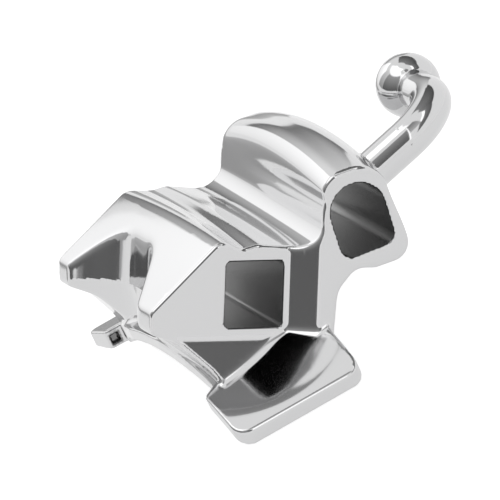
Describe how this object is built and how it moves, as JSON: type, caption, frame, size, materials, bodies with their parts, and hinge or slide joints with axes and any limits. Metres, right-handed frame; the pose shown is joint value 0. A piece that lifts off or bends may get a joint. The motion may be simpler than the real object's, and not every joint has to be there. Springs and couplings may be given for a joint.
{
  "type": "buccal tube",
  "caption": "one-piece steel molar tube with an archwire tube, an auxiliary tube, a split wing, a ball hook and an arched two-footed base",
  "frame": {"origin": "middle of the tube block's length and of the base's width, at the level of the mesial foot", "axes": "+X mesial, +Y gingival (the hook's side), +Z buccal, away from the tooth"},
  "size_m": [0.0049, 0.0043, 0.0022],
  "materials": {
    "polished_steel": "electropolished cast stainless steel, mirror bright"
  },
  "bodies": {
    "root": {"buccal_tube": "polished_steel"}
  },
  "joints": []
}
